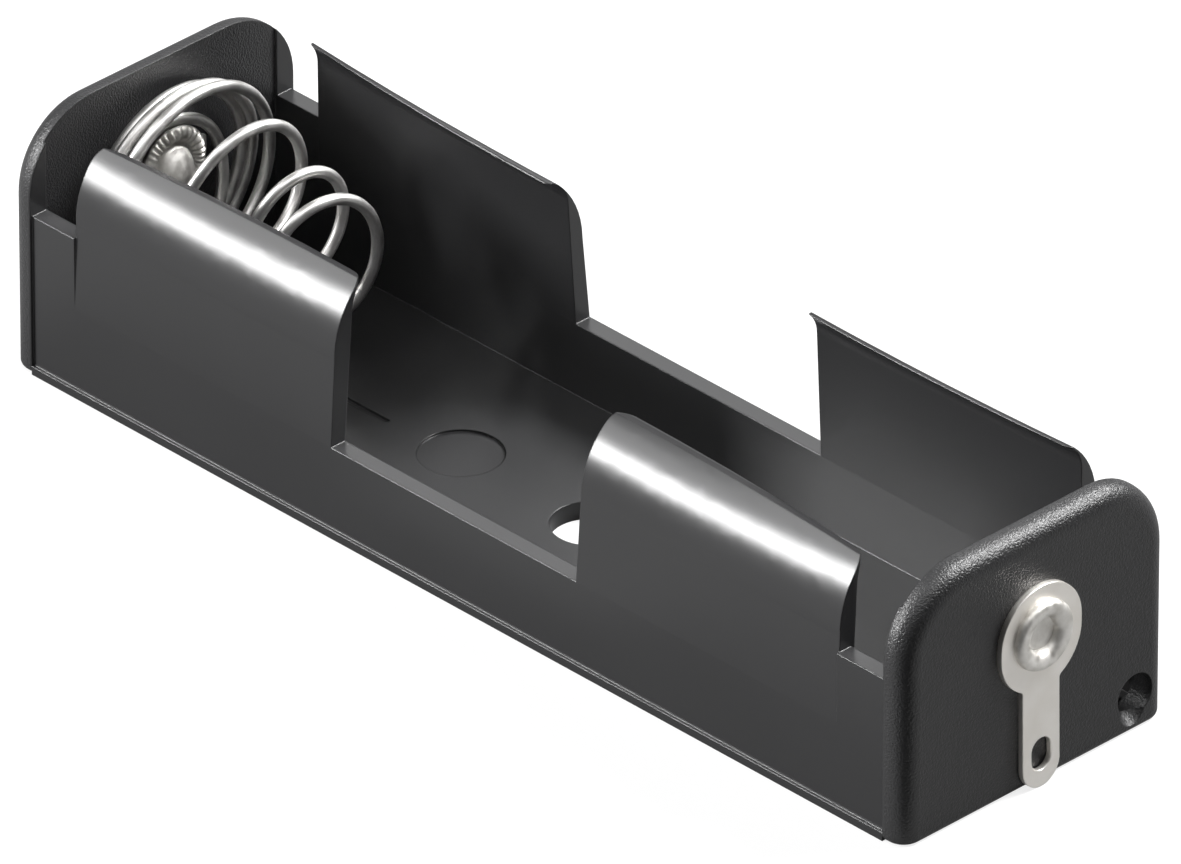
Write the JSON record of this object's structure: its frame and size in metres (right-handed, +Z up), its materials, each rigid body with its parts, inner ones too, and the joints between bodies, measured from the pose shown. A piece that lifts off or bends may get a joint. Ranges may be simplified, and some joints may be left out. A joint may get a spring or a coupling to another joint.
{
  "type": "cylindrical cell holder",
  "caption": "Moulded trough that snaps round one cylindrical cell, with a coil spring inside one end, a rivet contact in the other and solder lugs outside.",
  "frame": {"origin": "middle of the base, on the surface the holder is screwed to", "axes": "+X along the cell from the spring end to the plain contact, +Z up out of the open side"},
  "size_m": [0.0598, 0.0166, 0.0133],
  "materials": {
    "black_plastic": "smooth moulded, fine grain on the rounded ends",
    "spring_wire": "bright nickel plated spring wire",
    "rivet_metal": "nickel plated",
    "lug_sheet": "satin tin plate"
  },
  "bodies": {
    "holder": {"holder_body": "black_plastic", "spring_rivet": "rivet_metal", "spring_lug": "lug_sheet", "contact_rivet": "rivet_metal", "contact_lug": "lug_sheet"},
    "spring": {"contact_spring": "spring_wire"}
  },
  "joints": [
    {"name": "spring_compression", "type": "slide", "parent": "holder", "child": "spring", "axis": [-1, 0, 0], "range_m": [0, 0.0075], "stiffness_N_per_m": 650, "deforming": ["contact_spring"]}
  ]
}
